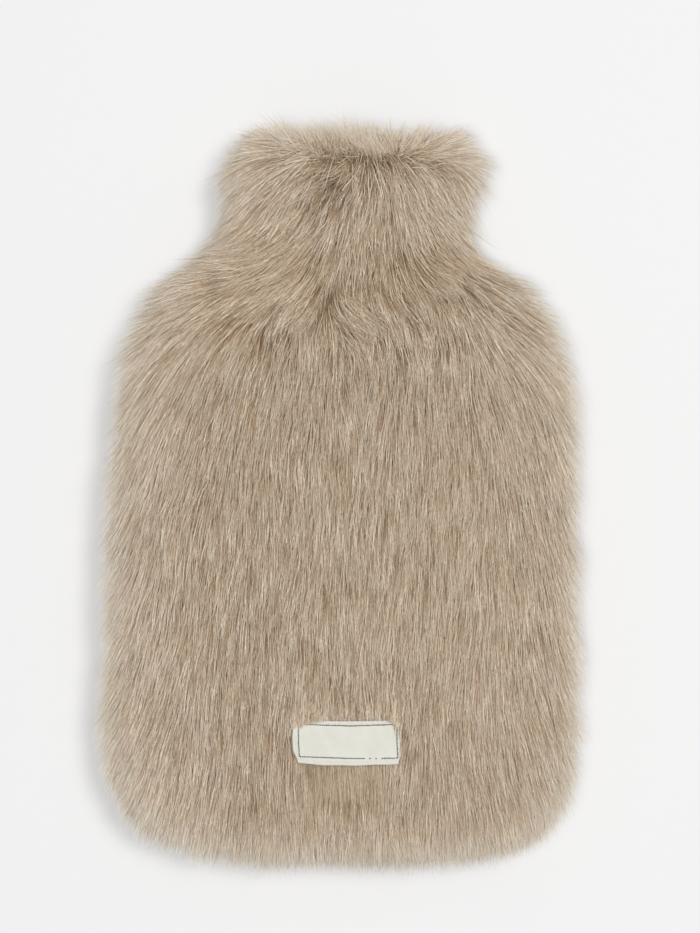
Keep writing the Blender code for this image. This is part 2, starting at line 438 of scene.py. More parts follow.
def in_tufts(x, y, tufts=TUFTS, way=-1):
    """For each tuft, the place along and across it and how much a point is in it.

    way is -1 where leans are from straight down, and 1 where they are from straight up.
    """
    for tx, ty, lean, a, b in tufts:
        c, q = math.cos(math.radians(lean)), math.sin(math.radians(lean))
        along = (x - tx) * q + way * (y - ty) * c
        across = (x - tx) * c - way * (y - ty) * q
        held = ease(2.2 - 1.7 * np.abs(along) / a) * ease(2.2 - 1.7 * np.abs(across) / b)
        yield along / a, across / b, held


def parting(x):
    """Height of the parting in the collar, which climbs away at the left."""
    return PARTING_Y + 1.5 * ease(-x / 15) + 13.0 * ease((-x - 17) / 13)


def brushed(p, shift=0.0):
    """Unit direction, seen from above, in which the front's pile is brushed at p.

    shift moves the parting up or down, so that locks near it cross.
    """
    x, y = p[:, 0], p[:, 1]
    left = np.interp(y, fine[200:, 0], fine[200:, 1])
    right = np.interp(y, fine[200:, 0], fine[200:, 2])
    xc = x - MIDDLE
    u = np.where(xc > 0, xc / right, xc / left)
    noise = 2.6 * lean_wide(x, y) + 2.0 * lean_fine(x, y)
    lean = table_at(BRUSHED, y, u)
    for (_, _, own_lean, _, _), (_, _, held) in zip(TUFTS, in_tufts(x, y)):
        lean = lean + (own_lean - lean) * 0.9 * held
    down = np.radians(lean + noise)
    lean = table_at(FRINGE, y, u)
    tops = in_tufts(x, y, TOP_TUFTS, 1)
    for (_, _, own_lean, _, _), (_, _, held) in zip(TOP_TUFTS, tops):
        lean = lean + (own_lean - lean) * 0.85 * held
    up = np.radians(lean + noise * 2)
    d = np.stack([np.sin(down), -np.cos(down), 0 * down], -1)
    e = np.stack([np.sin(up), np.cos(up), 0 * up], -1)
    line = parting(x) + 1.5 * lean_fine(x, y) + shift
    # away from the middle the two meet in a fan, without a parting
    mix = ease((y - line) / (2.0 + 44.0 * np.clip(np.abs(u - 0.04) - 0.16, 0, 1)) + 0.5)
    return unit(d * (1 - mix[:, None]) + e * mix[:, None] + 1e-6), mix


edge_left = np.stack([MIDDLE - fine[:, 1], fine[:, 0]], -1)
edge_right = np.stack([MIDDLE + fine[:, 2], fine[:, 0]], -1)
edge_top = np.stack([np.linspace(edge_left[-1, 0], edge_right[-1, 0], 160)] * 2, -1)
edge_top[:, 1] = fine[-1, 0]
edge_points = np.concatenate([edge_left, edge_right, edge_top])
edge_tree = KDTree(len(edge_points))
for i, (ex, ey) in enumerate(edge_points):
    edge_tree.insert((ex, ey, 0.0), i)
edge_tree.balance()


def spreading(x, y, reach=16.0, step=1.5):
    """How much further apart the pile's tips lie than its roots, as a share of area."""
    ends = []
    for dx, dy in ((step, 0), (-step, 0), (0, step), (0, -step)):
        p = np.stack([x + dx, y + dy, 0 * x], -1)
        ends.append(p + brushed(p)[0] * reach)
    a, b = (ends[0] - ends[1]) / (2 * step), (ends[2] - ends[3]) / (2 * step)
    return a[:, 0] * b[:, 1] - a[:, 1] * b[:, 0]


def past_outline(p):
    """How far points are outside the outline, seen from above; negative inside."""
    x, y = p[:, 0], p[:, 1]
    gap = np.array([edge_tree.find((a, b, 0.0))[2] for a, b in zip(x, y)])
    left = np.interp(y, fine[:, 0], fine[:, 1])
    right = np.interp(y, fine[:, 0], fine[:, 2])
    inside = (x - MIDDLE > -left) & (x - MIDDLE < right) & (np.abs(y) < fine[-1, 0])
    return np.where(inside, -gap, gap)


def open_gaps(line):
    """Strands moved a little to both sides of the short lines where the pile gapes."""
    line = line.copy()
    for x0, y0, x1, y1, w in GAPS:
        reach = math.dist((x0, y0), (x1, y1))
        ax, ay = (x1 - x0) / reach, (y1 - y0) / reach
        gx, gy = line[:, 1:, 0] - x0, line[:, 1:, 1] - y0
        along, off = gx * ax + gy * ay, gy * ax - gx * ay
        held = ease(1.5 - 1.25 * np.abs(2 * along / reach - 1))
        push = w * np.where(off < 0, -1, 1) * np.exp(-((off / (1.6 * w)) ** 2)) * held
        line[:, 1:, 0] -= push * ay
        line[:, 1:, 1] += push * ax
    return line


def near(points, centres):
    """Index of the nearest centre to each point."""
    tree = KDTree(len(centres))
    for i, c in enumerate(centres):
        tree.insert(c, i)
    tree.balance()
    return np.array([tree.find(p)[1] for p in points])


def locks(root, flow, heads, reach=9):
    """For each strand, the head that it clumps with: close to its own line."""
    tree = KDTree(len(heads))
    for i, c in enumerate(root[heads]):
        tree.insert(c, i)
    tree.balance()
    found = np.array([[hit[1] for hit in tree.find_n(p, reach)] for p in root])
    gap = root[:, None] - root[heads][found]
    along = (gap * flow[:, None]).sum(-1)
    off = np.linalg.norm(gap - along[..., None] * flow[:, None], axis=-1)
    best = np.argmin(off + 0.16 * np.abs(along), axis=1)
    return heads[found[np.arange(len(root)), best]]


LONG_STEPS = np.array([0.0, 0.38, 0.72, 1.0])  # where a strand's cross edges sit
SHORT_STEPS = np.array([0.0, 0.55, 1.0])


def centre_lines(root, start, end, length, bend=0.75, fine_steps=12):
    """Points at LONG_STEPS of strands that turn from start to end direction."""
    t = (np.arange(fine_steps) + 0.5) / fine_steps
    w = ease(t**bend)[None, :, None]
    d = unit(start[:, None] * (1 - w) + end[:, None] * w)
    path = np.cumsum(d, 1) * (length[:, None, None] / fine_steps)
    path = np.concatenate([np.zeros((len(root), 1, 3)), path], 1)
    at = LONG_STEPS * fine_steps
    i = np.minimum(at.astype(int), fine_steps - 1)
    f = (at - i)[None, :, None]
    return root[:, None] + path[:, i] * (1 - f) + path[:, i + 1] * f


def ribbon_arrays(line, width, face, tone, pale, steps, taper):
    """Vertices, corners, corner counts and map places of tapered strands."""
    n, k = line.shape[:2]
    along = unit(np.gradient(line, axis=1))
    across = unit(np.cross(along, face[:, None]))
    w = across[:, :-1] * (width[:, None] * taper)[..., None] / 2
    verts = np.empty((n, 2 * k - 1, 3))
    verts[:, 0:-1:2] = line[:, :-1] - w
    verts[:, 1:-1:2] = line[:, :-1] + w
    verts[:, -1] = line[:, -1]
    corners, cols, rows, counts = [], [], [], []
    for i in range(k - 2):
        corners += [2 * i, 2 * i + 1, 2 * i + 3, 2 * i + 2]
        cols += [0, 1, 1, 0]
        rows += [i, i, i + 1, i + 1]
        counts.append(4)
    corners += [2 * k - 4, 2 * k - 3, 2 * k - 2]
    cols += [0, 1, 0.5]
    rows += [k - 2, k - 2, k - 1]
    counts.append(3)
    loops = np.arange(n)[:, None] * (2 * k - 1) + np.array(corners)
    # every strand takes a thin upright strip of one shared map, root to tip
    uv = np.empty((n, len(corners), 2))
    uv[:, :, 0] = 0.01 + 0.96 * np.clip(tone, 0, 1)[:, None] + np.array(cols) * 0.018
    uv[:, :, 1] = 0.98 - 0.96 * np.clip((1 - steps[rows]) * (1 - pale[:, None]), 0, 1)
    return verts.reshape(-1, 3), loops.ravel(), np.tile(counts, n), uv.reshape(-1, 2)


def ribbons(name, line, width, face, tone, pale, short, mat):
    """A mesh of tapered strands, with a quad less in the short ones.

    line is (n, 4, 3), width in mm, face the way the strand's flat side looks,
    tone from 0 to 1 its place in the material's range, and pale from 0 to 1 how
    much of the dark root is missing.
    """
    brief = line[short]
    brief = np.stack([brief[:, 0], (brief[:, 1] + brief[:, 2]) / 2, brief[:, 3]], 1)
    tall = ~short
    sets = [
        ribbon_arrays(
            line[tall], width[tall], face[tall], tone[tall], pale[tall], LONG_STEPS,
            np.array([0.75, 1.0, 0.72]),
        ),
        ribbon_arrays(
            brief, width[short], face[short], tone[short], pale[short], SHORT_STEPS,
            np.array([0.8, 1.0]),
        ),
    ]
    first = len(sets[0][0])
    ob = mesh_object(
        name,
        np.concatenate([sets[0][0], sets[1][0]]),
        np.concatenate([sets[0][1], sets[1][1] + first]),
        np.concatenate([sets[0][2], sets[1][2]]),
    )
    layer = ob.data.uv_layers.new(name="OFBake")
    uv = np.concatenate([sets[0][3], sets[1][3]])
    layer.data.foreach_set("uv", uv.astype(np.float32).ravel())
    ob.data.materials.append(mat)
    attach(ob, "root")
    return ob


def label_plane(x, y):
    """Height of the patch that the label lies on."""
    middle = float(side_view(np.array([LABEL_Y]))[0][0]) - LABEL_SINK
    return middle + (y - LABEL_Y) * 0.035 + (x - LABEL_X) * -0.004


def strands(which, count, seed):
    """Line, width, face, tone and shortness of strands on one panel."""
    r = np.random.default_rng(seed)
    if which == "front":

        def crowd(x, y, z, a):
            """More roots in the collar and at the rim, and where the pile spreads."""
            more = 0.4 * ease((y - 90) / 60) + 0.6 * ease(1 - a / 0.25)
            line = np.exp(-(((y - parting(x)) / 6.0) ** 2))
            more = more + 1.3 * line * ease(1.5 - np.abs(x - 8) / 40)
            spread = np.clip(spreading(x.ravel(), y.ravel()).reshape(x.shape), 0.75, 1.9)
            return (1 + more) * (1 + (spread - 1) * ease(a / 0.3) * ease((160 - y) / 10))

        s, m = scatter("front", count, crowd)
    else:

        def crowd(x, y, z, a):
            """More roots towards the rim, and at the mouth."""
            return 1 + 1.6 * (a < 0.7) + 1.8 * ease((y - 150) / 10)

        s, m = scatter("back", count, crowd)
    root = surface(which, s, m)
    n = normals(which, s, m)
    x, y = root[:, 0], root[:, 1]
    away = 1 - np.abs(m)
    rim = ease(1 - away / 0.25)
    front = which == "front"
    pick = r.permutation(count)
    wide_heads = pick[: max(count // 420, 40)]
    wide = wide_heads[near(root, root[wide_heads])]
    jitter = r.normal(0, 1, count)
    flow, _ = brushed(root)
    lock = locks(root, flow, pick[: max(count // 8, 100)])
    astray = 3.4 * jitter[lock] + 1.2 * jitter
    # at the mouth some of the left side's locks stand up behind the others
    back_row = ease((-x - 14) / 8) * (jitter[lock] > 1.2 - 1.8 * ease((y - 165) / 8))
    astray = astray - 24 * np.where(front, back_row, ease((-x - 14) / 8))
    flow, up = brushed(root, astray)

    # pit: the hollow in the collar, where the strands are shorter and stand and turn more, and
    # below are painted darker for the shade in it
    pit = np.exp(-(((x - 1) / 9.0) ** 2) - ((y - 159) / 8.0) ** 2) * front
    parted = np.exp(-(((y - parting(x)) / 3.0) ** 2)) * ease(1.3 - np.abs(x - 5) / 30)
    parted = parted * front
    # the pile that comes out from under the label lies flat and smooth
    calm = ease(1.5 - np.abs(x - LABEL_X) / (LABEL_W / 2) * 1.1)
    calm = calm * ease((LABEL_Y + 16 - y) / 8) * ease((y - LABEL_Y + 24) / 10) * front
    # beside the label's right end the pile leans over its edge
    lean_in = np.exp(-(((x - 34) / 6.0) ** 2)) * ease(1.6 - np.abs(y - LABEL_Y) / 16)

    length = 27.0 + 1.5 * waves(11, 30)(x, y)
    length = length * r.uniform(0.70, 1.12, count)
    short = r.random(count) < 0.42
    length[short] *= r.uniform(0.5, 0.8, short.sum())
    middle_up = up * ease(1.8 - np.abs(x - 6) / 30)
    length = length * (1 - 0.38 * middle_up) * (1 - 0.45 * pit)
    length = length * (1 + (0.10 + 0.15 * ease((y - 92) / 15)) * rim)
    length = length * (1 + 0.42 * np.exp(-(((y - 129) / 8) ** 2)) * ease((x - 30) / 12))
    if not front:
        length = length * (1 - 0.40 * rim)

    turn = 3.6 * jitter + 2.4 * jitter[lock] + 1.0 * jitter[wide]
    turn = -9.0 * lean_in * front + turn
    upper = ease((y - 60) / 40) * (1 - up)
    turn = turn * (1 - 0.6 * calm) * (1 + 1.5 * pit + 1.2 * up + 0.8 * rim + 0.7 * upper)
    cross = r.normal(0, 1, count)
    neck = np.exp(-(((y - 124) / 24) ** 2)) * ease((62 - np.abs(x)) / 25) * front
    turn = turn + 5 * neck * cross[lock]
    turn = turn - 34 * pit + (16 * pit + 20 * parted) * cross[lock] + 10 * parted * cross
    turn = np.radians(turn)
    c, q = np.cos(turn), np.sin(turn)

    def turned(d):
        return np.stack(
            [d[:, 0] * c - d[:, 1] * q, d[:, 0] * q + d[:, 1] * c, 0 * c], -1
        )

    # a strand bends with the way the pile is brushed where its tip lies
    tip = root + flow * (length * 0.75)[:, None]
    tip_flow, _ = brushed(tip, astray)
    raised, under = 0.0 * x, 0.0 * x
    if front:
        for _, _, held in in_tufts(tip[:, 0], tip[:, 1]):
            raised = np.maximum(raised, held)
        # roots just past a tuft's end lie in the shade of its tips; below, their strands are
        # painted darker for that shade
        for along, across, _ in in_tufts(x, y):
            end = np.exp(-(((along - 1.05) / 0.22) ** 2)) * ease(1.6 - np.abs(across))
            under = np.maximum(under, end)
    along_parting = (tip_flow * flow).sum(-1) < 0.3
    tip_flow[along_parting] = flow[along_parting]
    flow, tip_flow = turned(flow), turned(tip_flow)
    tangent = flow - n * (flow * n).sum(-1, keepdims=True)
    tip_tangent = tip_flow - n * (tip_flow * n).sum(-1, keepdims=True)
    rise = r.normal(0, 1, count)
    rise = (0.7 * rise + 0.5 * rise[lock] + 0.25 * rise[wide]) * (1 - 0.7 * calm)
    rise = rise * (1 - 0.3 * ease((x - 30) / 45) * ease((70 - y) / 20))
    if front:
        rise = rise * (1 + 2.0 * pit) + 0.9 * raised
        stand = 0.57 + 0.09 * rise + 0.28 * up + 0.5 * pit - 0.27 * calm
        lay = 0.16 + 0.050 * rise + 0.16 * up + 0.25 * pit - 0.08 * calm
        sag = -0.16 + 0.16 * up
    else:
        flat = np.clip((away - 0.45) / 0.25, 0, 1)
        stand = (0.60 + 0.08 * rise) * (1 - 0.75 * flat)
        lay = (0.14 + 0.04 * rise) * (1 - 0.8 * flat)
        sag = 0.0 * up
    down = np.array([0.0, 0.0, 1.0]) * sag[:, None]
    start = unit(n * (stand * 1.3)[:, None] + tangent)
    end = unit(tip_tangent + n * np.maximum(lay, 0.03)[:, None] + down)
    # at the rim the pile turns outward, some strands more than others
    outward = (0.42 + 0.16 * r.normal(0, 1, count)) * rim * (0.6 + 0.4 * front)
    end = unit(end + n * outward[:, None])
    line = centre_lines(root, start, end, length)

    # strands of a lock draw in sideways to its own strand
    t = LONG_STEPS[None, :]
    side = unit(np.cross(n, flow))
    gap = root - root[lock]
    gap = gap - flow * (gap * flow).sum(-1, keepdims=True)
    hold = r.uniform(0.3, 0.95, count) * (1 - 0.9 * calm) * (1 - 0.35 * up)
    line = line - gap[:, None] * (hold[:, None] * ease(t / 0.7))[..., None]
    # a little wave, mostly shared by the lock
    phase, bend = r.random(count), r.normal(0, 1, count)
    wave = 0.20 * bend[:, None] * np.sin(2 * math.pi * (t * 0.9 + phase[:, None]))
    wave = wave + 0.32 * bend[lock][:, None] * np.sin(
        2 * math.pi * (t * 1.1 + phase[lock][:, None])
    )
    line = line + side[:, None] * (wave * t * (1 - 0.7 * calm)[:, None])[..., None]

    # those of a tuft end together
    if front:
        ends = zip(in_tufts(x, y), in_tufts(line[:, 3, 0], line[:, 3, 1]))
        for (here, _, _), (there, across, _) in ends:
            beyond = (here < 0.5) & (there > 0.9) & (there < 3.0) & (np.abs(across) < 1.2)
            beyond &= jitter < 0.8
            keep = (1.1 + 0.20 * cross - here) / np.maximum(there - here, 0.1)
            keep = np.where(beyond, np.clip(keep, 0.55, 1), 1.0)
            line = root[:, None] + (line - root[:, None]) * keep[:, None, None]

        line = open_gaps(line)

    # strands end near the outline, where the pile thins out
    tip_x, tip_y = line[:, 3, 0], line[:, 3, 1]
    low = ease((-150 - y) / 30)
    limit = r.normal(1.6 - 3.6 * low, 3.3 + 1.7 * low, count)
    limit -= 3.5 * low * np.minimum((x / 68) ** 2, 1.5)
    limit -= 2.2 * low * ease((-30 - x) / 40)
    high = ease((y - 160) / 14)
    limit -= high * (1.5 + 2.2 * ease((x - 0) / 25))
    more = [np.interp(tip_y, EDGE_REACH[:, 0], EDGE_REACH[:, k]) for k in (1, 2)]
    limit += np.where(tip_x < MIDDLE, *more) * ease(np.abs(tip_x - MIDDLE) / 20 - 1)
    limit += (0.9 + 0.9 * high) * cross[lock] + 1.6 * high * jitter[wide]
    limit += 2.0 * high * waves(31, 10)(tip_x, tip_y * 0.3)
    wild = 0.03 + 0.06 * ease((-x - 20) / 20) * ease((y - 60) / 30)
    stray = r.random(count) < wild + 0.10 * high * ease((40 - x) / 30)
    limit[stray] += r.uniform(2, 6, stray.sum()) * (1 + 0.35 * high[stray])
    if not front:
        limit -= 5.0 - 5.0 * high
    here, there = past_outline(root), past_outline(line[:, 3])
    keep = np.clip((limit - here) / np.maximum(there - here, 1e-3), 0.3, 1)
    keep = np.where(there > limit, keep, 1.0)
    line = root[:, None] + (line - root[:, None]) * keep[:, None, None]
    thin = ease((there * keep + here * (1 - keep) + 17) / 18)

    if front:
        line = press_under_label(line, r)
    floor = r.uniform(0.25, 2.2, count)[:, None]
    line[..., 2] = np.maximum(line[..., 2], np.minimum(floor, line[:, :1, 2] * 0.9))

    roll = r.normal(0, 0.45 + 0.6 * rim, count)
    towards = n * (1 - 0.7 * rim)[:, None]
    towards[:, 2] += 0.7 * rim * (1 if front else -1)
    face = unit(unit(towards) * np.cos(roll)[:, None] + side * np.sin(roll)[:, None])
    slope = ease((0.93 - n[:, 2]) / 0.35) * (1 - rim)
    width = 0.35 * r.uniform(0.7, 1.25, count) * (1 - 0.42 * thin) * (1 - 0.2 * up)
    width = width * (1 + 0.10 * slope + 0.15 * upper)
    width[short] *= 1.1

    side_on = ease((np.abs(m) - 0.3) / 0.35) * ease((100 - y) / 30)
    shade = waves(21, 42)(x, y) * 0.02 + waves(22, 9)(x, y) * 0.02
    own = r.normal(0, 1, count)
    quiet = (1 - 0.85 * calm) * (1 + 2.0 * pit)
    mate = own[lock]
    mate = 0.17 * mate - 0.04 * np.minimum(mate**2 - 1, 3.0)
    mate = mate * (1 - np.maximum(0.14 * side_on, 0.24 * upper))
    mate = mate * (1 - 0.14 * ease((x - 15) / 50))
    own_part = 0.245 * own * (1 + 0.28 * np.maximum(slope, upper))
    # painted shade: a tenth of the strands are much darker, thin dark lines for the shadow in
    # the gaps between locks
    own_part[r.random(count) < 0.10] -= 0.40
    # here and there a thicker pale hair lies on top
    share = (0.045 + 0.085 * upper + 0.045 * side_on) * (1 - 0.5 * neck)
    thick = r.random(count) < share * (1 - calm) * (1 - thin)
    own_part[thick] = 0.25 + 0.1 * own[thick]
    own_part = np.minimum(own_part, 0.40)
    width[thick] *= 1.45
    line[thick, 1:, 2] += np.array([0.3, 0.7, 1.0])
    own_part *= 0.94 - 0.40 * ease((x - 15) / 50) * ease((112 - y) / 20)
    own_part *= 1 + ease((-x - 25) / 30) * (0.36 * ease((y - 50) / 20) - 0.06)
    tone = 0.592 + shade + (own_part + mate + 0.02 * own[wide]) * quiet
    # painted light: strands near the outline are paler for the light that shines through their
    # thin tips, and the standing fringe is paler for the light it catches
    tone = tone + (0.34 + 0.10 * own) * thin + 0.08 * up
    # painted shade: strands in the collar's hollow and just past the ends of tufts are darker,
    # for the shade there
    tone = tone - 0.50 * pit + (0.05 + 0.08 * ease(x / 12)) * parted - 0.10 * under
    tone = tone + (0.10 - 0.07 * ease((x - 5) / 20)) * ease((y - 120) / 20)
    tone = tone - 0.23 * neck
    tone = tone + 0.09 * np.exp(-(((y - 82) / 28) ** 2)) * ease((x - 10) / 40)
    tone = tone - 0.03 * ease((x - 30) / 40)
    tone = tone - 0.05 * np.exp(-(((y - 85) / 22) ** 2)) * ease((-x - 30) / 20)
    # painted shade: the flattened pile by the label's lower edge is darker for the label's
    # shadow on it
    tone = tone - 0.10 * calm
    # the sides catch more light through the pile, the left most of all
    tone = tone + side_on * np.where(x < MIDDLE, 0.20, 0.06)
    tone[short] -= 0.14
    # pale adds painted light at the outline, in the fringe and on the lit sides, and painted
    # shade in the collar's hollow and past the tufts' ends, by showing less or more of the
    # dark root
    pale = 0.50 * thin + 0.20 * up + 0.26 * parted - 0.52 * pit - 0.12 * under
    pale = pale + side_on * np.where(x < MIDDLE, 0.10, 0.03)
    deep = r.normal(0, 1, count)
    deep = (0.8 * deep + 0.6 * deep[lock]) * (0.10 + 0.08 * upper + 0.45 * pit + 0.16 * up)
    pale = np.clip(pale + deep * (1 - calm) * (1 - thin), -0.7, 0.6)
    return line, width, face, tone, pale, short


# How far the pile reaches over the label, in mm, at places along an edge from 0 to 1.
OVER_TOP = np.array(
    [(0, 3.9), (0.08, 3.2), (0.16, 1.9), (0.25, 0.9), (0.4, 0.4), (0.86, 0.3), (0.92, 2.4),
     (1, 4.6)]
)
OVER_RIGHT = np.array([(0, 4.6), (0.3, 3.4), (0.5, 2.4), (0.75, 1.3), (1, 0.8)])


def press_under_label(line, r):
    """Keeps the pile under the label, apart from tips that reach over its edges."""
    n = len(line)
    left, right = LABEL_X - LABEL_W / 2, LABEL_X + LABEL_W / 2
    top, low = LABEL_Y + LABEL_H / 2, LABEL_Y - LABEL_H / 2
    root, tip = line[:, 0], line[:, 3]
    u = np.clip((tip[:, 0] - left) / LABEL_W, 0, 1)
    reach = np.interp(u, *OVER_TOP.T)
    deep = ease(reach / 2.5)
    reach = reach * (0.6 * deep + (1.2 - 0.5 * deep) * r.random(n))
    # some strands from above the label end on its edge
    depth = top - tip[:, 1]
    crosses = (root[:, 1] > top) & (tip[:, 0] > left - 1) & (tip[:, 0] < right + 1)
    cut = crosses & (depth > reach) & (r.random(n) < 0.30 + 0.4 * deep)
    keep = np.ones(n)
    keep[cut] = ((root[:, 1] - top + reach) / (root[:, 1] - tip[:, 1]))[cut]
    cut &= keep > 0.25
    keep = np.where(cut, keep, 1.0)
    line = root[:, None] + (line - root[:, None]) * keep[:, None, None]
    tip = line[:, 3]

    x, y, z = line[..., 0], line[..., 1], line[..., 2]
    plane = label_plane(x, y)
    off = np.maximum(np.abs(x - LABEL_X) - LABEL_W / 2, np.abs(y - LABEL_Y) - LABEL_H / 2)
    v = np.clip((top - tip[:, 1]) / LABEL_H, 0, 1)
    side_reach = np.interp(v, *OVER_RIGHT.T) * r.uniform(0.2, 1.3, n)
    over = (top - tip[:, 1] < reach + 0.01) & (root[:, 1] > top - 1.0)
    over |= (right - tip[:, 0] < side_reach) & (root[:, 1] > low - 1.0)
    over &= off[:, 3] < 0.5
    above_top = ease((y - top + 0.5) / 2.0)
    cap = plane - 0.45 - r.uniform(0, 1.6, (n, 1))
    slack = (0.4 + 1.1 * above_top) * off + 12.0 * ease(off / 9.0) + 1.2 * above_top
    cap = np.where(off > 0, cap + slack, cap)
    below = np.minimum(z, cap)
    # those that reach over its edge come up to it in good time
    high = plane + 1.5 + r.uniform(0, 0.9, (n, 1)) - 0.30 * np.maximum(off - 0.5, 0)
    above = np.maximum(z, high)
    above[:, 0] = z[:, 0]
    line = line.copy()
    line[..., 2] = np.where(over[:, None], above, below)
    return line


# ---- label -------------------------------------------------------------------
def label_edges(u, v):
    """The label's left, right, top and bottom edge, at v down it and u along it."""
    x_left = -23.3 + 2.6 * ease((v - 0.66) / 0.34) + 0.12 * np.sin(v * 9 + 1)
    x_right = 30.0 - 1.5 * ease((v - 0.7) / 0.3)
    y_top = -109.9 - 0.5 * np.sin(math.pi * u)
    y_low = -130.9 - 1.1 * np.sin(math.pi * u**0.8) - 0.6 * u + 0.12 * np.sin(u * 19)
    return x_left, x_right, y_top, y_low


def label_height(x, y, u, v):
    ripple = 0.12 * np.sin(x * 0.33 + 0.7) * np.sin(y * 0.21 + 2.0)
    ripple = ripple + 0.05 * np.sin(x * 0.9 + y * 0.5)
    # the turned-in ends are thicker, and the stitches draw the edge in
    du, dv = np.minimum(u, 1 - u) * LABEL_W, np.minimum(v, 1 - v) * LABEL_H
    hem = 0.22 * ease(1 - (du - 3.0) / 1.5)
    d = np.minimum(du, dv)
    run_along = np.where(du < dv, y, x)
    pull = np.exp(-(((d - 1.3) / 0.5) ** 2)) * (
        0.14 + 0.12 * np.cos(2 * math.pi * run_along / 2.7)
    )
    return label_plane(x, y) + 1.1 + ripple + hem - pull - 0.35 * np.exp(-d / 0.35)


def label_point(u, v):
    """Point on the label's upper face: u from left to right, v from top to bottom."""
    x_left, x_right, y_top, y_low = label_edges(u, v)
    x, y = x_left + (x_right - x_left) * u, y_top + (y_low - y_top) * v
    return np.stack([x, y, label_height(x, y, u, v)], -1)


def label_at(x, y):
    """Point on the label's upper face above (x, y)."""
    u = v = np.full_like(np.asarray(x, float), 0.5)
    for _ in range(4):
        x_left, x_right, y_top, y_low = label_edges(u, v)
        u = np.clip((x - x_left) / (x_right - x_left), 0, 1)
        v = np.clip((y - y_top) / (y_low - y_top), 0, 1)
    return np.stack([x, y, label_height(x, y, u, v)], -1)


def label_sheet(name, nu=84, nv=36):
    u = np.sin((np.linspace(0, 1, nu + 1) - 0.5) * math.pi * 0.92)
    v = np.sin((np.linspace(0, 1, nv + 1) - 0.5) * math.pi * 0.92)
    u, v = (0.5 + 0.5 * w / w[-1] for w in (u, v))
    V, U = np.meshgrid(v, u, indexing="ij")
    top = label_point(U, V)
    under = top.copy()
    edge = (U == 0) | (U == 1) | (V == 0) | (V == 1)
    under[..., 2] -= np.where(edge, 0.22, 0.55)
    inward = np.array([LABEL_X, LABEL_Y, 0]) - under
    under[edge, :2] += 0.25 * unit(inward[edge, :2])
    rows, cols = V.shape
    first = np.arange(rows * cols).reshape(rows, cols)
    second = first + rows * cols

    def quads(a, b, c, d):
        return np.stack([a, b, c, d], -1).reshape(-1, 4)

    f = [
        quads(first[1:, :-1], first[1:, 1:], first[:-1, 1:], first[:-1, :-1]),
        quads(second[:-1, :-1], second[:-1, 1:], second[1:, 1:], second[1:, :-1]),
        quads(first[0, :-1], first[0, 1:], second[0, 1:], second[0, :-1]),
        quads(first[-1, 1:], first[-1, :-1], second[-1, :-1], second[-1, 1:]),
        quads(first[1:, 0], first[:-1, 0], second[:-1, 0], second[1:, 0]),
        quads(first[:-1, -1], first[1:, -1], second[1:, -1], second[:-1, -1]),
    ]
    verts = np.concatenate([top.reshape(-1, 3), under.reshape(-1, 3)])
    return mesh_object(name, verts, np.concatenate(f))


def steps_along(path, step):
    """Pairs of (x, y) points, about step mm apart, along a path of corners."""
    out = []
    for p, q in zip(path, path[1:]):
        n = max(int(round(math.dist(p, q) / step)), 1)
        at = [
            (p[0] + (q[0] - p[0]) * k / n, p[1] + (q[1] - p[1]) * k / n)
            for k in range(n + 1)
        ]
        out += list(zip(at, at[1:]))
    return out


def threads(name, spans, width, height, share, mat, rise=0.03, rings=5, sides=4):
    """Short rounded lengths of thread lying on the label, one for each span."""
    r = np.random.default_rng(5)
    verts, faces = [], []
    for start, end in spans:
        a, b = (label_at(np.array(p[0]), np.array(p[1])) for p in (start, end))
        mid, along = (a + b) / 2, (b - a) * share / 2
        wobble = r.normal(0, 0.04, 2)
        mid = mid + np.array([wobble[0], wobble[1], 0])
        side = unit(np.cross([0, 0, 1.0], along)) * width / 2
        side = side * r.uniform(0.85, 1.15)
        base = len(verts)
        for i in range(rings):
            t = -1 + 2 * i / (rings - 1)
            girth = math.sqrt(max(1 - abs(t) ** 3, 0.02))
            for j in range(sides + 1):
                c = math.pi * j / sides
                p = mid + along * t + side * math.cos(c) * girth
                p[2] += rise + height * math.sin(c) * girth - 0.10 * (1 - girth)
                verts.append(p)
        for i in range(rings - 1):
            for j in range(sides):
                k = base + i * (sides + 1) + j
                faces.append([k, k + 1, k + sides + 2, k + sides + 1])
    ob = mesh_object(name, np.array(verts), np.array(faces))
    ob.data.materials.append(mat)
    return ob


# ---- materials ---------------------------------------------------------------
def new_material(name):
    mat = bpy.data.materials.new(name)
    mat.use_nodes = True
    nt = mat.node_tree
    return mat, nt, nt.nodes["Principled BSDF"]


def ramp(nt, stops):
    node = nt.nodes.new("ShaderNodeValToRGB")
    band = node.color_ramp
    band.interpolation = "EASE"
    while len(band.elements) < len(stops):
        band.elements.new(0.5)
    for e, (at, colour) in zip(band.elements, stops):
        e.position = at
        e.color = (*colour, 1.0)
    return node


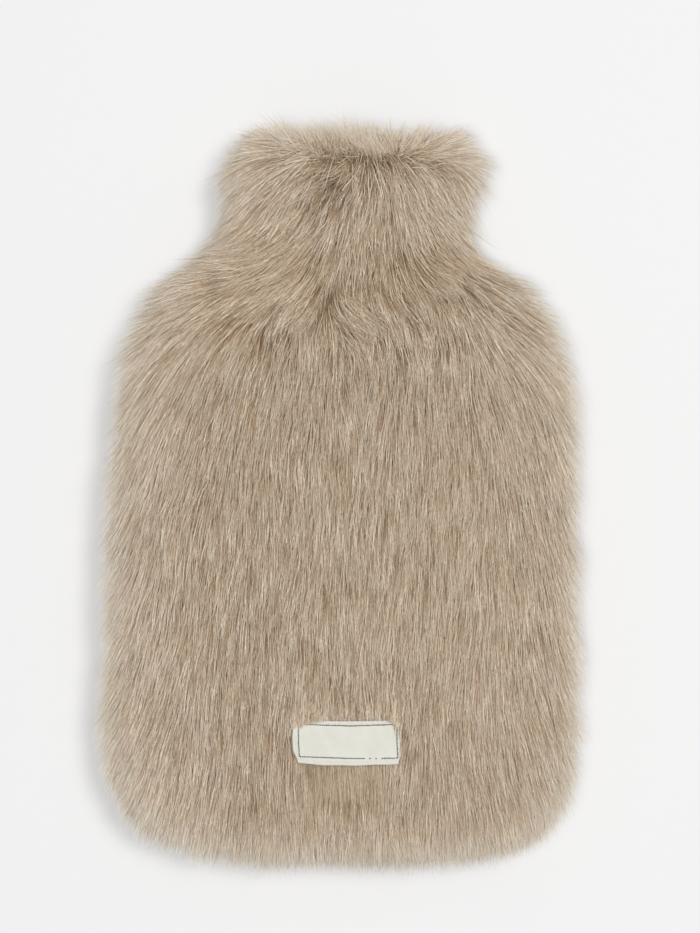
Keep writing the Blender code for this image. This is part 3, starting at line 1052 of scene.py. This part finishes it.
def fur_material(name, dark, pale):
    """Root to tip along the map's height, dark to pale strands across it."""
    mat, nt, bsdf = new_material(name)
    uv = nt.nodes.new("ShaderNodeUVMap")
    uv.uv_map = "OFBake"
    split = nt.nodes.new("ShaderNodeSeparateXYZ")
    nt.links.new(uv.outputs[0], split.inputs[0])
    low, high = ramp(nt, dark), ramp(nt, pale)
    nt.links.new(split.outputs[1], low.inputs[0])
    nt.links.new(split.outputs[1], high.inputs[0])
    mix = nt.nodes.new("ShaderNodeMix")
    mix.data_type = "RGBA"
    nt.links.new(split.outputs[0], mix.inputs[0])
    nt.links.new(low.outputs[0], mix.inputs[6])
    nt.links.new(high.outputs[0], mix.inputs[7])
    # painted highlights and painted shade: short paler and darker lengths along the strands,
    # for the glints and shade along their slight waves
    place = nt.nodes.new("ShaderNodeVectorMath")
    place.operation = "MULTIPLY"
    place.inputs[1].default_value = (160.0, 15.0, 1.0)
    nt.links.new(uv.outputs[0], place.inputs[0])
    noise = nt.nodes.new("ShaderNodeTexNoise")
    noise.inputs["Scale"].default_value = 1.0
    noise.inputs["Detail"].default_value = 1.0
    nt.links.new(place.outputs[0], noise.inputs["Vector"])
    bands = ramp(nt, [(0.3, (0.648, 0.608, 0.566)), (0.7, (1.141, 1.163, 1.18))])
    nt.links.new(noise.outputs["Fac"], bands.inputs[0])
    shade = nt.nodes.new("ShaderNodeMix")
    shade.data_type = "RGBA"
    shade.blend_type = "MULTIPLY"
    shade.inputs[0].default_value = 1.0
    nt.links.new(mix.outputs[2], shade.inputs[6])
    nt.links.new(bands.outputs[0], shade.inputs[7])
    nt.links.new(shade.outputs[2], bsdf.inputs["Base Color"])
    bsdf.inputs["Roughness"].default_value = 0.55
    bsdf.inputs["Specular IOR Level"].default_value = 0.24
    bsdf.inputs["Sheen Weight"].default_value = 0.12
    bsdf.inputs["Sheen Roughness"].default_value = 0.4
    bsdf.inputs["Sheen Tint"].default_value = (1.0, 0.93, 0.84, 1.0)
    return mat


FUR = fur_material(
    "fur_pile",
    dark=[
        (0.0, (0.124, 0.065, 0.029)),
        (0.35, (0.218, 0.133, 0.070)),
        (0.7, (0.450, 0.300, 0.168)),
        (1.0, (0.610, 0.458, 0.302)),
    ],
    pale=[
        (0.0, (0.262, 0.166, 0.092)),
        (0.35, (0.492, 0.370, 0.246)),
        (0.7, (0.856, 0.732, 0.580)),
        (1.0, (0.938, 0.884, 0.780)),
    ],
)


def under_material():
    """The ground of the pile between the roots."""
    mat, nt, bsdf = new_material("fur_ground")
    coord = nt.nodes.new("ShaderNodeTexCoord")
    noise = nt.nodes.new("ShaderNodeTexNoise")
    noise.inputs["Scale"].default_value = 900.0
    noise.inputs["Detail"].default_value = 4.0
    nt.links.new(coord.outputs["Object"], noise.inputs["Vector"])
    cols = ramp(nt, [(0.3, (0.10, 0.07, 0.048)), (0.7, (0.25, 0.18, 0.13))])
    nt.links.new(noise.outputs["Fac"], cols.inputs[0])
    nt.links.new(cols.outputs[0], bsdf.inputs["Base Color"])
    bump = nt.nodes.new("ShaderNodeBump")
    bump.inputs["Strength"].default_value = 0.6
    bump.inputs["Distance"].default_value = 0.001
    nt.links.new(noise.outputs["Fac"], bump.inputs["Height"])
    nt.links.new(bump.outputs[0], bsdf.inputs["Normal"])
    bsdf.inputs["Roughness"].default_value = 0.95
    return mat


def knit_material():
    """The inside of the cloth: a fine beige knit with rows of small loops."""
    mat, nt, bsdf = new_material("knit_inside")
    coord = nt.nodes.new("ShaderNodeTexCoord")
    rows = nt.nodes.new("ShaderNodeTexWave")
    rows.wave_type = "BANDS"
    rows.bands_direction = "X"
    rows.inputs["Scale"].default_value = 260.0
    rows.inputs["Distortion"].default_value = 1.2
    rows.inputs["Detail"].default_value = 2.0
    rows.inputs["Detail Scale"].default_value = 2.5
    nt.links.new(coord.outputs["Object"], rows.inputs["Vector"])
    cols = ramp(nt, [(0.2, (0.30, 0.235, 0.175)), (0.8, (0.52, 0.43, 0.335))])
    nt.links.new(rows.outputs["Fac"], cols.inputs[0])
    nt.links.new(cols.outputs[0], bsdf.inputs["Base Color"])
    bump = nt.nodes.new("ShaderNodeBump")
    bump.inputs["Strength"].default_value = 0.5
    bump.inputs["Distance"].default_value = 0.0004
    nt.links.new(rows.outputs["Fac"], bump.inputs["Height"])
    nt.links.new(bump.outputs[0], bsdf.inputs["Normal"])
    bsdf.inputs["Roughness"].default_value = 0.9
    return mat


def satin_material():
    """Cream woven satin: fine ribs both ways, and slight uneven patches."""
    mat, nt, bsdf = new_material("label_satin")
    coord = nt.nodes.new("ShaderNodeTexCoord")
    weave = []
    for direction, scale in (("X", 700.0), ("Y", 900.0)):
        wave = nt.nodes.new("ShaderNodeTexWave")
        wave.wave_type = "BANDS"
        wave.bands_direction = direction
        wave.inputs["Scale"].default_value = scale
        wave.inputs["Distortion"].default_value = 0.6
        nt.links.new(coord.outputs["Object"], wave.inputs["Vector"])
        weave.append(wave)
    ribs = nt.nodes.new("ShaderNodeMix")
    ribs.data_type = "FLOAT"
    ribs.inputs[0].default_value = 0.4
    nt.links.new(weave[0].outputs["Fac"], ribs.inputs[2])
    nt.links.new(weave[1].outputs["Fac"], ribs.inputs[3])
    cols = ramp(nt, [(0.1, (0.62, 0.61, 0.54)), (0.8, (0.73, 0.72, 0.65))])
    nt.links.new(ribs.outputs[0], cols.inputs[0])
    patches = nt.nodes.new("ShaderNodeTexNoise")
    patches.inputs["Scale"].default_value = 130.0
    patches.inputs["Detail"].default_value = 3.0
    nt.links.new(coord.outputs["Object"], patches.inputs["Vector"])
    soft = ramp(nt, [(0.3, (0.95, 0.945, 0.93)), (0.7, (1.0, 1.0, 1.0))])
    nt.links.new(patches.outputs["Fac"], soft.inputs[0])
    both = nt.nodes.new("ShaderNodeMix")
    both.data_type = "RGBA"
    both.blend_type = "MULTIPLY"
    both.inputs[0].default_value = 1.0
    nt.links.new(cols.outputs[0], both.inputs[6])
    nt.links.new(soft.outputs[0], both.inputs[7])
    nt.links.new(both.outputs[2], bsdf.inputs["Base Color"])
    bump = nt.nodes.new("ShaderNodeBump")
    bump.inputs["Strength"].default_value = 0.35
    bump.inputs["Distance"].default_value = 0.00015
    nt.links.new(ribs.outputs[0], bump.inputs["Height"])
    nt.links.new(bump.outputs[0], bsdf.inputs["Normal"])
    bsdf.inputs["Roughness"].default_value = 0.5
    bsdf.inputs["Sheen Weight"].default_value = 0.15
    return mat


def thread_material(name, low, high):
    mat, nt, bsdf = new_material(name)
    coord = nt.nodes.new("ShaderNodeTexCoord")
    noise = nt.nodes.new("ShaderNodeTexNoise")
    noise.inputs["Scale"].default_value = 1400.0
    noise.inputs["Detail"].default_value = 2.0
    nt.links.new(coord.outputs["Object"], noise.inputs["Vector"])
    cols = ramp(nt, [(0.3, low), (0.7, high)])
    nt.links.new(noise.outputs["Fac"], cols.inputs[0])
    nt.links.new(cols.outputs[0], bsdf.inputs["Base Color"])
    bsdf.inputs["Roughness"].default_value = 0.6
    return mat


GROUND, KNIT = under_material(), knit_material()
SATIN = satin_material()
DARK_THREAD = thread_material("border_thread", (0.060, 0.050, 0.041), (0.115, 0.098, 0.082))
PALE_THREAD = thread_material("sewing_thread", (0.66, 0.65, 0.59), (0.76, 0.75, 0.70))

# ---- camera, floor and light -------------------------------------------------
PX = 0.495  # mm on the cover for each pixel of the view
cam = bpy.data.objects.new("camera", bpy.data.cameras.new("camera"))
bpy.context.scene.collection.objects.link(cam)
cam.data.lens = 125.0
cam.data.sensor_width = 36.0
cam.data.clip_end = 20.0
view_h = 933 * PX
distance = view_h * cam.data.lens / 36.0
cam.location = (
    (350 - 340.4) * PX * MM,
    (494 - 466.5) * PX * MM,
    (distance + 28.0) * MM,
)
bpy.context.scene.camera = cam

floor_verts = np.array([(-3e3, -3e3, 0), (3e3, -3e3, 0), (3e3, 3e3, 0), (-3e3, 3e3, 0.0)])
floor = mesh_object("floor", floor_verts, np.array([[0, 1, 2, 3]]))
floor_mat, floor_nt, floor_bsdf = new_material("floor_paper")
floor_bsdf.inputs["Base Color"].default_value = (0.823, 0.823, 0.823, 1.0)
floor_bsdf.inputs["Roughness"].default_value = 0.8
floor_bsdf.inputs["Specular IOR Level"].default_value = 0.1
floor.data.materials.append(floor_mat)

world = bpy.data.worlds.new("studio")
bpy.context.scene.world = world
world.use_nodes = True
world.node_tree.nodes["Background"].inputs[0].default_value = (1.0, 1.0, 1.0, 1.0)
world.node_tree.nodes["Background"].inputs[1].default_value = 0.20


def area_light(name, place, aim, size, power, colour=(1.0, 1.0, 1.0)):
    lamp = bpy.data.lights.new(name, "AREA")
    lamp.shape = "DISK"
    lamp.size = size
    lamp.energy = power
    lamp.color = colour
    ob = bpy.data.objects.new(name, lamp)
    bpy.context.scene.collection.objects.link(ob)
    ob.location = place
    ob.rotation_euler = (Vector(aim) - Vector(place)).to_track_quat("-Z", "Y").to_euler()
    return ob


area_light("key", (1.19, 0.54, 3.24), (0, 0, 0), 1.30, 49.0)
area_light("top", (-0.45, -0.24, 4.32), (0, 0, 0), 1.30, 101.5)

bpy.context.scene.view_settings.view_transform = "Standard"
bpy.context.scene.view_settings.look = "None"

# ---- build -------------------------------------------------------------------
front = cloth_panel("front_cloth", "front")
back = cloth_panel("back_cloth", "back")
for ob in (front, back):
    ob.data.materials.append(GROUND)
    ob.data.materials.append(KNIT)
    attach(ob, "root")
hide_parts("front_panel")
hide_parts("back_panel")

SHARE = 1.0
parts = []
for which, pieces, count in (("front", 4, 44500), ("back", 2, 19000)):
    total = int(pieces * count * SHARE)
    line, width, face, tone, pale, short = strands(
        which, total, 71 if which == "front" else 72
    )
    if SHARE < 1:
        width = width * 1.6
    order = np.argsort(line[:, 0, 1], kind="stable")
    for k, chosen in enumerate(np.array_split(order, pieces)):
        parts.append(
            ribbons(
                f"{which}_pile_{k + 1}",
                line[chosen],
                width[chosen],
                face[chosen],
                tone[chosen],
                pale[chosen],
                short[chosen],
                FUR,
            )
        )


tag = label_sheet("label_sheet")
tag.data.materials.append(SATIN)
# the border is worn away for a short length at the bottom right
BORDER = [
    (-19.9, -111.9), (-8.0, -112.4), (5.0, -112.8), (17.0, -112.4), (27.7, -112.1),
    (27.6, -119.0), (28.0, -128.5), (17.0, -128.8), (5.0, -128.7), (-9.0, -128.2),
    (-19.8, -127.8), (-20.4, -121.0), (-20.3, -114.0), (-19.9, -111.9),
]
border = [
    (p, q)
    for p, q in steps_along(BORDER, 1.0)
    if not (12.0 < p[0] < 21.5 and p[1] < -125 and int(p[0] * 10) % 3)
]
SEAM_LINE = [
    (-21.9, -111.2), (4.0, -111.7), (28.6, -111.2), (28.6, -128.0), (27.2, -130.1),
    (4.0, -130.7), (-10.0, -130.3), (-19.0, -129.6), (-21.4, -126.5), (-22.0, -118.0),
    (-21.9, -111.2),
]
line_piece = threads("label_border", border, 0.72, 0.06, 1.04, DARK_THREAD)
stitch_piece = threads(
    "label_stitches", steps_along(SEAM_LINE, 2.7), 0.50, 0.24, 0.72, PALE_THREAD,
    rings=7, sides=6,
)
for ob in (tag, line_piece, stitch_piece):
    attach(ob, "root")
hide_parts("label")
